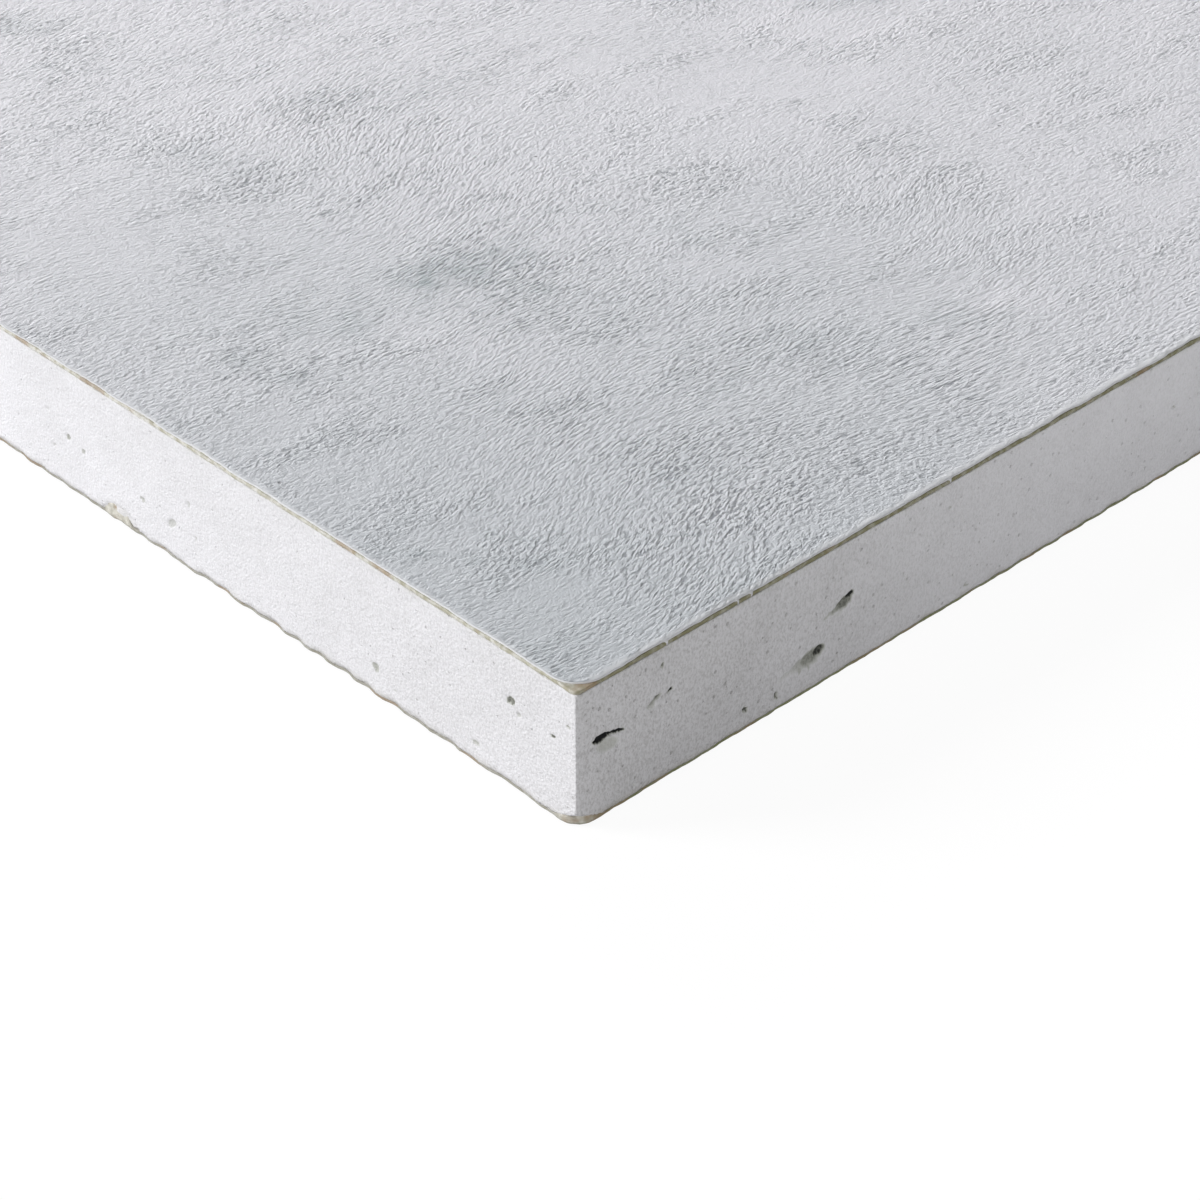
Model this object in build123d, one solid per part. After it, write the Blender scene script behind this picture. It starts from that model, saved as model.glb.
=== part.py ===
from build123d import *
import math
import os

# Drywall sheet lying flat, face up. All sizes are in millimetres.
# The origin is the centre of the bottom face, +X is the length,
# +Y the width and +Z up. The "near corner" is the one at +X, -Y.

os.makedirs("parts", exist_ok=True)

# The sheet as it is sold.
sheet_length = 2400.0
sheet_width = 1200.0
sheet_thickness = 12.5

# The layers, from the top down: facing, face paper, core, back paper.
facing_thickness = 0.18
paper_thickness = 0.3

# The facing stops a little short of the cut on every side, and its
# near corner is worn round.
facing_setback = 0.1
facing_corner_radius = 2.4

# The papers' near corners are worn less.
face_paper_corner_radius = 0.5
back_paper_corner_radius = 1.6

# Beside the near corner the saw left the thin layers ragged in plan.
# The depth is measured inwards, so no layer passes the sheet's own size.
ragged_run = 84.0
ragged_pitch = 3.6
ragged_depth_back = 0.34
ragged_depth_face = 0.12
ragged_depth_facing = 0.16

# The near bottom corner was knocked: the core is crushed away there,
# and the back paper is folded up into the space.
bruise_run = 2.6
bruise_rise = 1.15

# A flap of back paper is torn up into a chip in the front edge.
# It is placed by its distance from the near corner.
flap_along = 54.2
flap_width = 4.6
flap_rise = 1.35
flap_thickness = 0.25
flap_inset = 0.06
flap_clearance = 0.15

# Air voids and pores cut open on the front edge, at -Y. Each line is
# distance from the near corner, drop below the top, width, height,
# depth, and how far its far end is raised, in degrees.
front_pores = [
    (6.9, 4.6, 1.05, 0.8, 0.5, -25.0),
    (2.5, 5.25, 0.6, 0.32, 0.4, 0.0),
    (0.95, 3.65, 0.55, 0.32, 0.3, -15.0),
    (10.8, 10.6, 0.7, 0.5, 0.3, 0.0),
    (22.05, 9.8, 0.95, 0.9, 0.45, 0.0),
    (47.05, 8.95, 1.35, 0.7, 0.4, -38.0),
    (50.8, 8.45, 0.68, 0.5, 0.3, 10.0),
    (60.7, 7.15, 0.8, 0.5, 0.35, -20.0),
    (58.7, 7.55, 0.42, 0.5, 0.3, -30.0),
    (44.5, 5.9, 0.36, 0.6, 0.3, -30.0),
]

# The same for the short edge at +X. The first three make one broken
# slit, the next three and the three after that a void with its tail.
side_pores = [
    (2.55, 5.42, 1.75, 0.75, 2.2, -5.0),
    (3.35, 5.45, 2.75, 0.42, 2.0, -8.0),
    (3.25, 6.4, 2.9, 1.5, 0.35, -3.0),
    (28.05, 5.7, 1.15, 0.85, 1.6, 8.0),
    (27.4, 5.85, 1.5, 0.5, 0.9, 20.0),
    (25.95, 6.12, 1.25, 0.42, 0.6, 6.0),
    (24.75, 9.15, 1.9, 1.1, 1.3, -18.0),
    (23.3, 9.15, 1.9, 1.0, 0.6, 12.0),
    (21.9, 9.5, 1.9, 0.5, 0.3, 6.0),
    (7.55, 5.0, 1.1, 0.55, 0.6, 0.0),
    (9.3, 4.72, 0.45, 0.32, 0.4, -10.0),
    (8.45, 2.1, 0.34, 0.42, 0.35, 0.0),
    (17.15, 10.6, 0.3, 0.62, 0.4, 25.0),
    (20.6, 11.1, 0.3, 0.8, 0.4, 25.0),
    (67.5, 5.75, 0.6, 0.4, 0.35, -15.0),
    (39.35, 2.85, 0.36, 0.36, 0.3, 0.0),
    (42.0, 11.3, 0.6, 0.32, 0.35, -25.0),
]

# Everything below follows from the sizes above.
core_thickness = sheet_thickness - facing_thickness - 2.0 * paper_thickness
core_bottom = paper_thickness
core_top = core_bottom + core_thickness
facing_bottom = core_top + paper_thickness
right = sheet_length / 2.0
back = sheet_width / 2.0
left = -right
front = -back


def wave(s, phase):
    """Raggedness at a distance s along a cut: 0 at its ends, never over 1."""
    turn = 2.0 * math.pi * s / ragged_pitch
    short_swell = math.sin(turn + phase)
    long_swell = math.sin(0.37 * turn + 1.7 * phase)
    mixed = 0.6 + 0.22 * short_swell + 0.18 * long_swell
    near = min(1.0, s / ragged_pitch)
    far = min(1.0, (ragged_run - s) / ragged_pitch)
    return mixed * near * far


def layer(bottom, thickness, inset, radius, depth, phase):
    """One thin layer: a plate with ragged cuts and a worn near corner."""
    x0 = left + inset
    x1 = right - inset
    y0 = front + inset
    y1 = back - inset
    count = int(3.0 * ragged_run / ragged_pitch)
    steps = [ragged_run * i / count for i in range(count + 1)]
    along_front = [
        (x1 - radius - s, y0 + depth * wave(s, phase)) for s in steps
    ]
    along_side = [
        (x1 - depth * wave(s, phase + 2.0), y0 + radius + s) for s in steps
    ]
    reach = radius * (1.0 - math.sqrt(0.5))
    corner = ThreePointArc(
        along_front[0],
        (x1 - reach, y0 + reach),
        along_side[0],
    )
    plain = Polyline(
        along_side[-1],
        (x1, y1),
        (x0, y1),
        (x0, y0),
        along_front[-1],
    )
    edges = [
        Spline(*along_front, tangents=[(-1, 0), (-1, 0)]),
        corner,
        Spline(*along_side, tangents=[(0, 1), (0, 1)]),
    ]
    outline = Wire(edges + list(plain.edges()))
    plate = extrude(make_face(outline), amount=thickness)
    return Pos(0, 0, bottom) * plate


def pore(width, height, depth, rise):
    """An air void: an ellipsoid, its width on X and its depth on Y."""
    ball = Sphere(1.0)
    void = scale(ball, by=(width / 2.0, depth, height / 2.0))
    return Rot(0, -rise, 0) * void


def half_ellipse(width, rise, thickness):
    """An upright plate: the upper half of an ellipse, facing -Y."""
    whole = Plane.XZ * Ellipse(width / 2.0, rise)
    plate = extrude(whole, amount=-thickness)
    upper = Pos(0, thickness / 2.0, rise) * Box(
        2.0 * width, 4.0 * thickness, 2.0 * rise
    )
    return plate & upper


# The knock across the near bottom corner of the core is one flat plane.
bruise_plane = Plane(
    origin=(right, front, core_bottom + bruise_rise),
    z_dir=(bruise_rise, -bruise_rise, -bruise_run),
)

# Core: the white gypsum body, with every open void taken out of it.
core = Pos(0, 0, core_bottom) * Box(
    sheet_length,
    sheet_width,
    core_thickness,
    align=(Align.CENTER, Align.CENTER, Align.MIN),
)
core = split(core, bisect_by=bruise_plane, keep=Keep.BOTTOM)

voids = []
for along, drop, width, height, depth, rise in front_pores:
    place = Pos(right - along, front, sheet_thickness - drop)
    voids.append(place * Rot(0, 0, 180) * pore(width, height, depth, rise))
for along, drop, width, height, depth, rise in side_pores:
    place = Pos(right, front + along, sheet_thickness - drop)
    voids.append(place * Rot(0, 0, 90) * pore(width, height, depth, rise))

# The chip that the torn flap stands in.
chip = Pos(right - flap_along, front, core_bottom) * half_ellipse(
    flap_width + 2.0 * flap_clearance,
    flap_rise + flap_clearance,
    flap_inset + flap_thickness + flap_clearance,
)
voids.append(chip)

for void in voids:
    core = core - void

# Face paper, flush with the cut apart from its ragged stretch.
face_paper = layer(
    core_top,
    paper_thickness,
    0.0,
    face_paper_corner_radius,
    ragged_depth_face,
    0.6,
)

# Textured facing, thinner than the paper and worn round at the corner.
facing = layer(
    facing_bottom,
    facing_thickness,
    facing_setback,
    facing_corner_radius,
    ragged_depth_facing,
    3.1,
)

# Back paper, with the fold at the knocked corner and the torn flap.
back_sheet = layer(
    0.0,
    paper_thickness,
    0.0,
    back_paper_corner_radius,
    ragged_depth_back,
    1.9,
)
fold_reach = Pos(right, front, core_bottom) * Box(
    2.0 * bruise_run,
    2.0 * bruise_run,
    bruise_rise,
    align=(Align.CENTER, Align.CENTER, Align.MIN),
)
fold_outline = layer(
    core_bottom,
    bruise_rise,
    0.0,
    back_paper_corner_radius,
    ragged_depth_back,
    1.9,
)
fold = split(
    fold_reach & fold_outline,
    bisect_by=bruise_plane,
    keep=Keep.TOP,
)
flap = Pos(right - flap_along, front + flap_inset, core_bottom) * (
    half_ellipse(flap_width, flap_rise, flap_thickness)
)
back_paper = back_sheet + fold + flap

core.label = "gypsum_core"
face_paper.label = "face_paper"
facing.label = "textured_facing"
back_paper.label = "back_paper"

export_step(core, "parts/gypsum_core.step")
export_step(face_paper, "parts/face_paper.step")
export_step(facing, "parts/textured_facing.step")
export_step(back_paper, "parts/back_paper.step")
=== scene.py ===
import logging
import math
from dataclasses import dataclass, replace
from enum import Enum

import bpy
import numpy as np
from mathutils import Matrix, Vector


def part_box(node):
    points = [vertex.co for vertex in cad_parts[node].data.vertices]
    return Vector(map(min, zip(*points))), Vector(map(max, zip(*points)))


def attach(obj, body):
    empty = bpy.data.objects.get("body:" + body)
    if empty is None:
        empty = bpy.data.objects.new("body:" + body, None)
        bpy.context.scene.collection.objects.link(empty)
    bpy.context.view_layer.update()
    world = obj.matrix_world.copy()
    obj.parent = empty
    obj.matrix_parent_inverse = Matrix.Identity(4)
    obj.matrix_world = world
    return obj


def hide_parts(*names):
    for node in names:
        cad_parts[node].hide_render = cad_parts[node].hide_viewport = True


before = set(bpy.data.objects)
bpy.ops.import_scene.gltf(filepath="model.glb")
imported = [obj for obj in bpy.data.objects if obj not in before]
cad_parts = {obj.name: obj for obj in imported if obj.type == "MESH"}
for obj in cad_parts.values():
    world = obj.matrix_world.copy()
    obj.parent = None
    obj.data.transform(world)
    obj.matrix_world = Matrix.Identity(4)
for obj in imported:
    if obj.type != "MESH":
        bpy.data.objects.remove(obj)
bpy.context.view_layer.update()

log = logging.getLogger("drywall_sheet")

MM = 0.001


class Cut(Enum):
    """The two cut edges that meet at the near corner."""

    LONG = "long edge"
    END = "short edge"

    def holds(self, near: np.ndarray) -> np.ndarray:
        """Tell which stations lie on this edge."""
        return near >= 0.0 if self is Cut.END else near < 0.0


# Outlines


@dataclass(frozen=True)
class Plate:
    """Where one layer lies, in millimetres in the sheet's frame."""

    left: float
    right: float
    front: float
    back: float
    low: float
    high: float

    @classmethod
    def of(cls, node: str) -> "Plate":
        """Read a layer's box from its CAD node.

        Args:
            node: the CAD node's name.

        Returns:
            The layer's place in millimetres.
        """
        low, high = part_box(node)
        return cls(
            low[0] / MM, high[0] / MM, low[1] / MM, high[1] / MM,
            low[2] / MM, high[2] / MM,
        )


@dataclass(frozen=True)
class Spacing:
    """How close the stations stand along an edge, from the near corner out.

    A mark is a centre, a half width and how much closer they stand there.
    Closing distances are counted back from the far end. The running sum is
    sampled in fine steps to a little beyond the reach, then more coarsely.
    """

    step: float
    reach: float
    growth: float
    coarse: float
    marks: tuple[tuple[float, float, float], ...] = ()
    closing: tuple[float, ...] = ()
    fine_step: float = 0.01
    beyond: float = 30.0
    rest_count: int = 4000

    def along(self, length: float) -> np.ndarray:
        """Place stations so that every gap is as long as the local step.

        The step is even up to the reach, then grows in proportion to the
        distance past it, and is divided near each mark. The running sum of
        1 / step is cut into equal parts. The closing stations are added.

        Args:
            length: the edge's length in millimetres.

        Returns:
            Distances from the near corner, from 0 to the length.
        """
        fine = np.arange(0.0, min(length, self.reach + self.beyond), self.fine_step)
        rest = np.linspace(fine[-1], length, self.rest_count)[1:]
        s = np.concatenate([fine, rest])
        step = self.step + self.growth * np.maximum(0.0, s - self.reach)
        step = np.minimum(step, self.coarse)
        closer = np.ones_like(s)
        for centre, half_width, closeness in self.marks:
            closer += closeness * np.exp(-(((s - centre) / half_width) ** 2))
        step = step / closer
        parts = np.diff(s) * 0.5 * (1.0 / step[1:] + 1.0 / step[:-1])
        total = np.concatenate([[0.0], np.cumsum(parts)])
        count = int(math.ceil(total[-1])) + 1
        stations = np.interp(np.linspace(0.0, total[-1], count), total, s)
        return np.unique(np.concatenate([stations, length - np.array(self.closing)]))


FAR_EDGES = Spacing(12.0, 60.0, 0.2, 60.0)


@dataclass(frozen=True)
class Ring:
    """Points walked once anticlockwise round a layer, seen from above."""

    x: np.ndarray
    y: np.ndarray
    in_x: np.ndarray
    in_y: np.ndarray
    near: np.ndarray

    @classmethod
    def walk(
        cls,
        plate: Plate,
        inset: float,
        radius: float,
        long_side: np.ndarray,
        short_side: np.ndarray,
        far_long: np.ndarray,
        far_short: np.ndarray,
    ) -> "Ring":
        """Walk a rectangle whose near corner is an arc.

        Stations within the radius of the near corner go onto the arc by
        angle; the others stay on the straight edges.

        Args:
            plate: the layer.
            inset: how far the outline lies inside the layer's box.
            radius: the near corner's radius.
            long_side: stations on the long edge, from the near corner.
            short_side: stations on the short edge, from the near corner.
            far_long: stations on the far long edge.
            far_short: stations on the far short edge.

        Returns:
            The ring; near is the distance from the near corner, positive on
            the short edge and negative on the long edge.
        """
        x0, x1 = plate.left + inset, plate.right - inset
        y0, y1 = plate.front + inset, plate.back - inset
        end, back = short_side[:-1], far_long[:-1]
        far, front = far_short[:0:-1], long_side[:0:-1]
        none = np.zeros
        x = np.concatenate([
            np.full(end.size, x1), x1 - back, np.full(far.size, x0), x1 - front,
        ])
        y = np.concatenate([
            y0 + end, np.full(back.size, y1), y0 + far, np.full(front.size, y0),
        ])
        in_x = np.concatenate([
            np.full(end.size, -1.0), none(back.size),
            np.full(far.size, 1.0), none(front.size),
        ])
        in_y = np.concatenate([
            none(end.size), np.full(back.size, -1.0),
            none(far.size), np.full(front.size, 1.0),
        ])
        near = np.concatenate([
            end, short_side[-1] + back, -long_side[-1] - far, -front,
        ])
        bend = np.abs(near) < radius
        angle = math.radians(-45.0) + math.radians(45.0) * near / radius
        cos, sin = np.cos(angle), np.sin(angle)
        x = np.where(bend, x1 - radius + radius * cos, x)
        y = np.where(bend, y0 + radius + radius * sin, y)
        in_x = np.where(bend, -cos, in_x)
        in_y = np.where(bend, -sin, in_y)
        return cls(x, y, in_x, in_y, near)

    @classmethod
    def of(
        cls, plate: Plate, radius: float, long_side: Spacing, short_side: Spacing
    ) -> "Ring":
        """Walk a whole layer, with few stations on its far edges.

        Args:
            plate: the layer.
            radius: the near corner's radius.
            long_side: how the stations stand on the long edge.
            short_side: how they stand on the short edge.

        Returns:
            The ring.
        """
        length, width = plate.right - plate.left, plate.back - plate.front
        return cls.walk(
            plate, 0.0, radius, long_side.along(length), short_side.along(width),
            FAR_EDGES.along(length), FAR_EDGES.along(width),
        )

    def row(self, inward: np.ndarray | float, z: np.ndarray | float) -> np.ndarray:
        """Give one row of points moved inwards by a distance, at a height.

        Args:
            inward: distance along the inward direction, in millimetres.
            z: height in millimetres.

        Returns:
            An array of points, one for each station.
        """
        x = self.x + self.in_x * inward
        y = self.y + self.in_y * inward
        return np.stack([x, y, np.broadcast_to(z, x.shape)], axis=-1)


@dataclass(frozen=True)
class Ripple:
    """Seeded unevenness along a line or over a surface."""

    pitch: float
    seed: int
    terms: int = 7

    @property
    def scale(self) -> float:
        """Return 1.6 deviations of the sum: 1.6 times root of terms over 2."""
        return 1.13 * math.sqrt(self.terms)

    def line(self, s: np.ndarray) -> np.ndarray:
        """Sum sines of seeded lengths and phases.

        Args:
            s: distance in millimetres.

        Returns:
            The sum over its scale, about -1 to 1.
        """
        dice = np.random.default_rng(self.seed)
        pitch = self.pitch * dice.uniform(0.6, 2.2, self.terms)
        phase = dice.uniform(0.0, 2.0 * math.pi, self.terms)
        turns = 2.0 * math.pi * s[..., None] / pitch + phase
        return np.sin(turns).sum(axis=-1) / self.scale

    def field(self, x: np.ndarray, y: np.ndarray) -> np.ndarray:
        """Sum plane waves of seeded lengths, directions and phases.

        Args:
            x: first place in millimetres.
            y: second place in millimetres.

        Returns:
            The sum, about -1 to 1.
        """
        dice = np.random.default_rng(self.seed)
        pitch = self.pitch * dice.uniform(0.6, 2.0, self.terms)
        turn = dice.uniform(0.0, 2.0 * math.pi, self.terms)
        phase = dice.uniform(0.0, 2.0 * math.pi, self.terms)
        total = np.zeros(np.broadcast(x, y).shape)
        for one, way, start in zip(pitch, turn, phase):
            across = x * math.cos(way) + y * math.sin(way)
            total += np.sin(2.0 * math.pi * across / one + start)
        return total / self.scale


def bell(distance: np.ndarray, half_width: float) -> np.ndarray:
    """Give exp of minus (distance over half width) squared."""
    return np.exp(-((distance / half_width) ** 2))


def ease(value: np.ndarray, start: float, end: float) -> np.ndarray:
    """Rise from 0 at the start to 1 at the end as 3t squared less 2t cubed."""
    t = np.clip((value - start) / (end - start), 0.0, 1.0)
    return t * t * (3.0 - 2.0 * t)


def line_distance(
    x: np.ndarray, y: np.ndarray, start: tuple[float, float], end: tuple[float, float]
) -> np.ndarray:
    """Give the distance of places from a line with two ends.

    The place is projected on the line, the projection is kept between the
    ends, and the distance is taken to that point.

    Args:
        x: first place.
        y: second place.
        start: one end.
        end: the other end.

    Returns:
        The distances.
    """
    run_x, run_y = end[0] - start[0], end[1] - start[1]
    along = ((x - start[0]) * run_x + (y - start[1]) * run_y)
    share = np.clip(along / max(run_x**2 + run_y**2, 1e-9), 0.0, 1.0)
    return np.hypot(x - start[0] - share * run_x, y - start[1] - share * run_y)


# Meshes


@dataclass
class Body:
    """A closed mesh being put together, in millimetres."""

    name: str
    points: np.ndarray
    quads: np.ndarray
    caps: list[np.ndarray]
    values: dict[str, np.ndarray]

    @staticmethod
    def band_quads(first: np.ndarray) -> np.ndarray:
        """Join neighbouring rows of a closed band with quads.

        Args:
            first: vertex numbers, one row for each ring.

        Returns:
            Four vertex numbers for each quad, turned outwards.
        """
        ahead = np.roll(first, -1, axis=1)
        return np.stack(
            [first[:-1], ahead[:-1], ahead[1:], first[1:]], axis=-1
        ).reshape(-1, 4)

    @classmethod
    def band(
        cls, name: str, rows: np.ndarray, values: dict[str, np.ndarray]
    ) -> "Body":
        """Stack rings, lowest first, and close both ends.

        Args:
            name: the piece's name.
            rows: points, ring by ring.
            values: named values for each point, shaped as the rows.

        Returns:
            The closed band.
        """
        numbers = np.arange(rows.shape[0] * rows.shape[1])
        numbers = numbers.reshape(rows.shape[:2])
        return cls(
            name,
            rows.reshape(-1, 3),
            cls.band_quads(numbers),
            [numbers[0, ::-1], numbers[-1]],
            {key: np.asarray(value).ravel() for key, value in values.items()},
        )

    @classmethod
    def lid(
        cls,
        name: str,
        grid: np.ndarray,
        skirt: np.ndarray,
        values: dict[str, np.ndarray],
        skirt_values: dict[str, np.ndarray],
    ) -> "Body":
        """Close a grid by hanging rings from its rim.

        The grid's rows run away from the long edge and its columns away
        from the short edge. The skirt's rings go down from the rim.

        Args:
            name: the piece's name.
            grid: the top surface's points.
            skirt: the rings below the rim, highest first.
            values: named values for each grid point.
            skirt_values: the same for each skirt point.

        Returns:
            The closed body.
        """
        rows, columns = grid.shape[:2]
        number = np.arange(rows * columns).reshape(rows, columns)
        rim = cls.rim_of(number)
        lower = np.arange(skirt.shape[0] * skirt.shape[1])
        lower = lower.reshape(skirt.shape[:2]) + number.size
        top = np.stack(
            [number[:-1, :-1], number[1:, :-1], number[1:, 1:], number[:-1, 1:]],
            axis=-1,
        ).reshape(-1, 4)
        sides = cls.band_quads(np.vstack([lower[::-1], rim[None, :]]))
        return cls(
            name,
            np.concatenate([grid.reshape(-1, 3), skirt.reshape(-1, 3)]),
            np.concatenate([top, sides]),
            [lower[-1, ::-1]],
            {
                key: np.concatenate([values[key].ravel(), skirt_values[key].ravel()])
                for key in values
            },
        )

    @staticmethod
    def rim_of(grid: np.ndarray) -> np.ndarray:
        """Read a grid's border once round, in the order of a Ring.

        Args:
            grid: any array of rows and columns.

        Returns:
            The border's entries from the near corner, anticlockwise.
        """
        return np.concatenate([
            grid[:-1, 0], grid[-1, :-1], grid[:0:-1, -1], grid[0, :0:-1],
        ])

    def build(self, finish: bpy.types.Material, node: str) -> bpy.types.Object:
        """Make the Blender object and let it stand for its CAD node.

        Args:
            finish: the material.
            node: the CAD node that it replaces.

        Returns:
            The finished piece.
        """
        mesh = bpy.data.meshes.new(self.name)
        corners = np.concatenate([self.quads.ravel(), *self.caps])
        sizes = np.concatenate([
            np.full(len(self.quads), 4), [len(cap) for cap in self.caps],
        ])
        starts = np.concatenate([[0], np.cumsum(sizes)[:-1]])
        mesh.vertices.add(len(self.points))
        mesh.vertices.foreach_set("co", (self.points * MM).astype(np.float32).ravel())
        mesh.loops.add(corners.size)
        mesh.loops.foreach_set("vertex_index", corners.astype(np.int32))
        mesh.polygons.add(sizes.size)
        mesh.polygons.foreach_set("loop_start", starts.astype(np.int32))
        smooth = np.ones(sizes.size, dtype=bool)
        smooth[len(self.quads):] = False
        mesh.polygons.foreach_set("use_smooth", smooth)
        for key, value in self.values.items():
            kind = "FLOAT_VECTOR" if value.size == 3 * len(self.points) else "FLOAT"
            slot = mesh.attributes.new(key, kind, "POINT")
            word = "vector" if kind == "FLOAT_VECTOR" else "value"
            slot.data.foreach_set(word, value.astype(np.float32).ravel())
        mesh.update(calc_edges=True)
        mesh.validate()
        mesh.materials.append(finish)
        piece = bpy.data.objects.new(self.name, mesh)
        bpy.context.scene.collection.objects.link(piece)
        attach(piece, "root")
        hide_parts(node)
        return piece


# The core


@dataclass(frozen=True)
class Void:
    """One air void that the cut laid open, in millimetres and degrees."""

    cut: Cut
    along: float
    drop: float
    width: float
    height: float
    depth: float
    rise: float
    shade: float
    power: float = 2.0
    soft: float = 0.2

    def fill(self, s: np.ndarray, drop: np.ndarray) -> np.ndarray:
        """Give how deep inside the void's rim each place is.

        In the void's own turned axes the rim is an ellipse, and the fill is
        one less the distance ratio to the given power.

        Args:
            s: distance from the near corner.
            drop: distance below the sheet's top.

        Returns:
            1 at the middle, 0 at the rim, and below 0 outside it.
        """
        cos, sin = math.cos(math.radians(self.rise)), math.sin(math.radians(self.rise))
        ahead, up = s - self.along, self.drop - drop
        a = (ahead * cos + up * sin) / (self.width / 2.0)
        b = (up * cos - ahead * sin) / (self.height / 2.0)
        ratio = np.sqrt(a * a + b * b)
        return 1.0 - np.minimum(ratio, 3.0) ** self.power


END_VOIDS = (
    (2.4, 5.42, 1.5, 0.7, 0.6, -6.0, 1.15),
    (3.4, 5.4, 2.6, 0.4, 0.5, -14.0, 1.1),
    (3.1, 6.3, 2.4, 1.4, 0.15, -12.0, 0.55, 4.0, 1.0),
    (28.3, 5.55, 0.85, 0.62, 0.35, 20.0, 1.05, 2.0, 0.5),
    (27.75, 5.92, 1.8, 1.2, 0.2, 24.0, 0.8, 2.0, 0.5),
    (27.0, 6.1, 1.9, 0.66, 0.16, 22.0, 0.7, 2.0, 0.6),
    (26.0, 6.32, 1.7, 0.42, 0.1, 20.0, 0.55, 2.0, 0.8),
    (27.15, 6.7, 1.1, 0.8, 0.05, 10.0, 0.4, 2.0, 1.0),
    (25.1, 9.15, 1.4, 1.2, 0.25, -5.0, 0.9, 2.0, 0.6),
    (24.2, 9.3, 3.0, 1.7, 0.15, 8.0, 0.74, 2.0, 0.8),
    (22.9, 9.4, 2.4, 1.3, 0.1, 15.0, 0.52, 2.0, 1.0),
    (21.5, 9.65, 2.4, 0.8, 0.05, 18.0, 0.4, 2.0, 1.0),
    (24.0, 10.0, 0.3, 1.3, 0.06, 0.0, 0.62, 2.0, 0.6),
    (22.95, 9.8, 0.34, 1.4, 0.06, 0.0, 0.58, 2.0, 0.6),
    (24.85, 9.8, 0.34, 0.7, 0.06, 0.0, 0.5, 2.0, 0.6),
    (7.8, 4.8, 1.5, 0.5, 0.3, 24.0, 0.8, 2.0, 0.6),
    (7.4, 5.05, 1.2, 0.95, 0.1, 0.0, 0.52, 2.0, 0.9),
    (9.3, 4.72, 0.6, 0.46, 0.4, 20.0, 1.1),
    (8.45, 2.1, 0.44, 0.56, 0.3, 0.0, 0.8),
    (17.15, 10.6, 0.42, 0.8, 0.4, 25.0, 0.95),
    (20.6, 11.1, 0.4, 0.85, 0.4, 25.0, 0.9),
    (5.75, 11.45, 0.42, 0.26, 0.3, -20.0, 0.5),
    (6.4, 9.4, 0.4, 0.4, 0.2, 30.0, 0.42),
    (42.0, 11.3, 0.6, 0.36, 0.3, -25.0, 0.75),
    (67.5, 5.75, 0.6, 0.44, 0.4, -15.0, 0.6),
    (39.35, 2.85, 0.4, 0.4, 0.3, 0.0, 0.6),
    (63.6, 0.75, 0.5, 0.34, 0.3, 0.0, 0.5),
)

LONG_VOIDS = (
    (6.85, 4.55, 0.95, 0.7, 0.15, -25.0, 0.79),
    (6.0, 5.35, 0.5, 0.4, 0.15, 0.0, 0.47),
    (2.5, 5.25, 0.6, 0.32, 0.15, 0.0, 0.85),
    (0.95, 3.65, 0.55, 0.32, 0.15, -15.0, 0.72),
    (10.8, 10.6, 0.7, 0.46, 0.15, 0.0, 0.59),
    (22.05, 9.75, 0.9, 0.85, 0.15, 0.0, 0.62),
    (19.95, 10.8, 0.5, 0.36, 0.15, -20.0, 0.42),
    (47.05, 8.95, 1.3, 0.7, 0.15, -38.0, 0.47),
    (50.8, 8.45, 0.68, 0.5, 0.15, 10.0, 0.55),
    (44.5, 5.9, 0.36, 0.6, 0.15, -30.0, 0.49),
    (43.95, 8.9, 0.42, 0.36, 0.15, -20.0, 0.47),
    (60.7, 7.15, 0.7, 0.5, 0.15, -20.0, 0.67),
    (58.7, 7.55, 0.42, 0.5, 0.15, -30.0, 0.57),
    (63.3, 5.5, 0.5, 0.3, 0.15, -20.0, 0.42),
    (62.9, 8.9, 0.5, 0.3, 0.15, -20.0, 0.39),
)

VOIDS = tuple(
    Void(cut, *sizes)
    for cut, rows in ((Cut.END, END_VOIDS), (Cut.LONG, LONG_VOIDS))
    for sizes in rows
)


@dataclass(frozen=True)
class Hairline:
    """A faint line on a cut face, from one place to another, in millimetres."""

    cut: Cut
    start: tuple[float, float]
    end: tuple[float, float]
    shade: float
    half_width: float = 0.12

    def mark(self, s: np.ndarray, drop: np.ndarray) -> np.ndarray:
        """Give the line's darkness, as a bell of the distance from it."""
        return self.shade * bell(line_distance(s, drop, self.start, self.end), self.half_width)


HAIRLINES = (
    Hairline(Cut.LONG, (25.25, 0.6), (22.5, 8.5), 0.1),
    Hairline(Cut.END, (4.62, 5.4), (4.62, 8.6), 0.3),
    Hairline(Cut.END, (14.6, 7.2), (17.4, 9.0), 0.06, 0.6),
)


@dataclass(frozen=True)
class Knock:
    """The crushed near bottom corner."""

    run: float = 2.6
    rise: float = 1.15

    def fold(self, near: np.ndarray) -> np.ndarray:
        """Give the height that the knock reaches at each station."""
        return self.rise * np.clip(1.0 - np.abs(near) / self.run, 0.0, 1.0) ** 1.3


@dataclass(frozen=True)
class Ragged:
    """How far the saw tore the bottom edge back, in millimetres."""

    depth_long: float = 0.25
    depth_end: float = 0.1
    rise: float = 0.55
    clear: float = 1.8

    def along(self, near: np.ndarray) -> np.ndarray:
        """Give the tear's depth at each station: slow and quick waves added."""
        wave = 0.45 + 0.42 * Ripple(4.2, 31).line(near) + 0.1 * Ripple(1.7, 33, 9).line(near)
        depth = np.where(near < 0.0, self.depth_long, self.depth_end)
        torn = depth * np.clip(wave, 0.0, 1.2)
        return torn * ease(np.abs(near), self.clear, self.clear + 2.0)


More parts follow.
